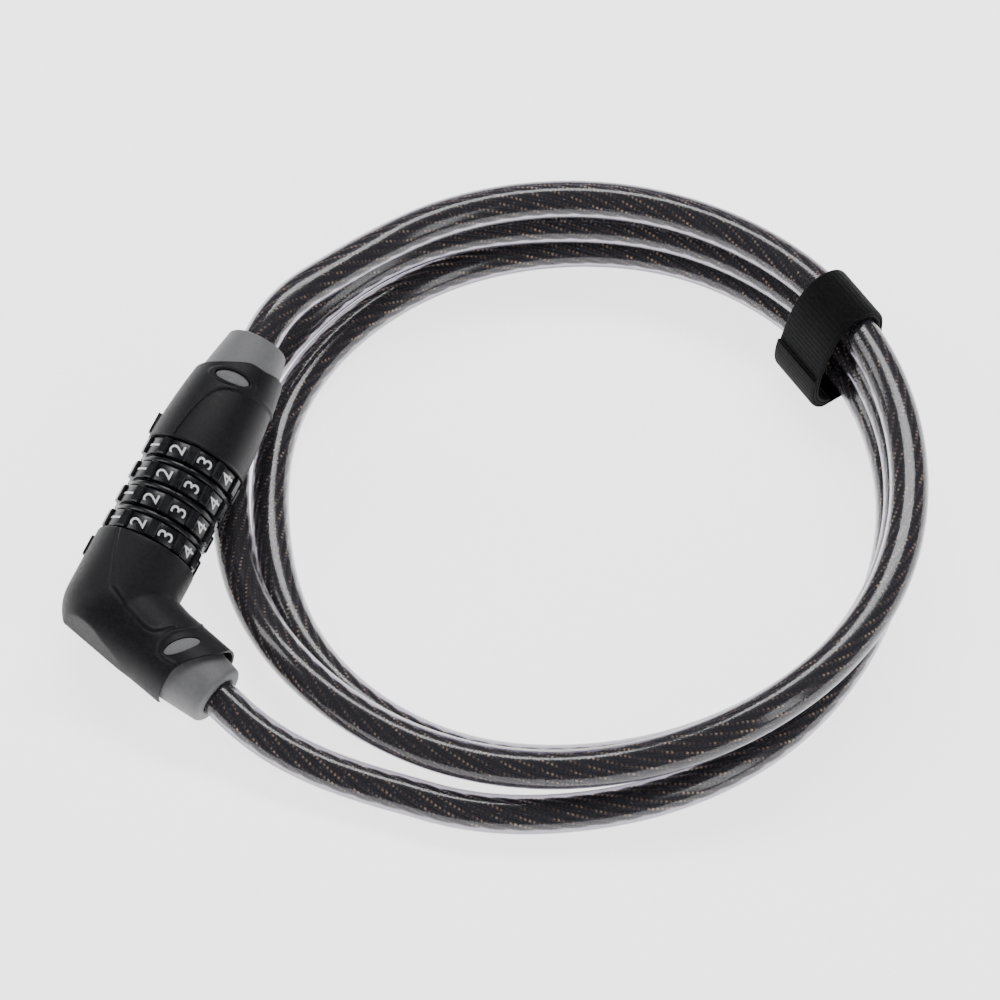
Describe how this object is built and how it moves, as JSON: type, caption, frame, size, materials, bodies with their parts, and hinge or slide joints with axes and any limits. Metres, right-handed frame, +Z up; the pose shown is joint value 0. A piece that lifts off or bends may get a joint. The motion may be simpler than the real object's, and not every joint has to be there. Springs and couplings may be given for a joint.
{
  "type": "combination cable lock",
  "caption": "Combination cable lock: elbow body with number dials, pull-out plug with a lugged bolt, and one coiled steel cable in a smoked clear jacket.",
  "frame": {"origin": "on the resting plane, straight under the point where the lock axis crosses the middle of the dial stack", "axes": "+Z up; +Y from the elbow to the plug, the lock axis leaning 10 degrees up from it; +X towards the middle of the coil"},
  "size_m": [0.2339, 0.2312, 0.0461],
  "materials": {
    "body_plastic": "satin black moulded plastic with a fine grain",
    "dial_plastic": "semi-gloss black moulded plastic",
    "sleeve_rubber": "matt grey soft-touch rubber",
    "zinc_core": "die-cast grey metal",
    "hard_steel": "ground and plated steel",
    "spring_steel": "plain spring wire",
    "brass_ring": "turned brass",
    "clear_jacket": "smoked clear jacket over dark twisted steel strands",
    "strap_fabric": "black woven hook-and-loop tape"
  },
  "bodies": {
    "lock_body": {"elbow_housing": "body_plastic", "elbow_core": "zinc_core", "elbow_pin": "hard_steel", "elbow_sleeve": "sleeve_rubber", "elbow_ferrule": "brass_ring", "barrel": "hard_steel", "detent_balls": "hard_steel", "detent_springs": "spring_steel", "spacer_1": "dial_plastic", "spacer_2": "dial_plastic", "spacer_3": "dial_plastic", "end_ring": "hard_steel", "ejector_spring": "spring_steel", "cable": "clear_jacket", "strap": "strap_fabric"},
    "dial_1": {"number_ring_1": "dial_plastic", "code_ring_1": "brass_ring"},
    "dial_2": {"number_ring_2": "dial_plastic", "code_ring_2": "brass_ring"},
    "dial_3": {"number_ring_3": "dial_plastic", "code_ring_3": "brass_ring"},
    "dial_4": {"number_ring_4": "dial_plastic", "code_ring_4": "brass_ring"},
    "plug": {"plug_housing": "body_plastic", "plug_core": "zinc_core", "plug_pin": "hard_steel", "plug_sleeve": "sleeve_rubber", "plug_ferrule": "brass_ring", "bolt": "hard_steel", "cable_lead": "clear_jacket"}
  },
  "joints": [
    {"name": "dial_1_turn", "type": "hinge", "parent": "lock_body", "child": "dial_1", "pos_m": [0, 0, 0.0245], "axis": [0, 0.9848, 0.1736], "continuous": true},
    {"name": "dial_2_turn", "type": "hinge", "parent": "lock_body", "child": "dial_2", "pos_m": [0, 0, 0.0245], "axis": [0, 0.9848, 0.1736], "continuous": true},
    {"name": "dial_3_turn", "type": "hinge", "parent": "lock_body", "child": "dial_3", "pos_m": [0, 0, 0.0245], "axis": [0, 0.9848, 0.1736], "continuous": true},
    {"name": "dial_4_turn", "type": "hinge", "parent": "lock_body", "child": "dial_4", "pos_m": [0, 0, 0.0245], "axis": [0, 0.9848, 0.1736], "continuous": true},
    {"name": "plug_slide", "type": "slide", "parent": "lock_body", "child": "plug", "axis": [0, 0.9848, 0.1736], "range_m": [0, 0.045], "deforming": ["cable_lead"]}
  ]
}
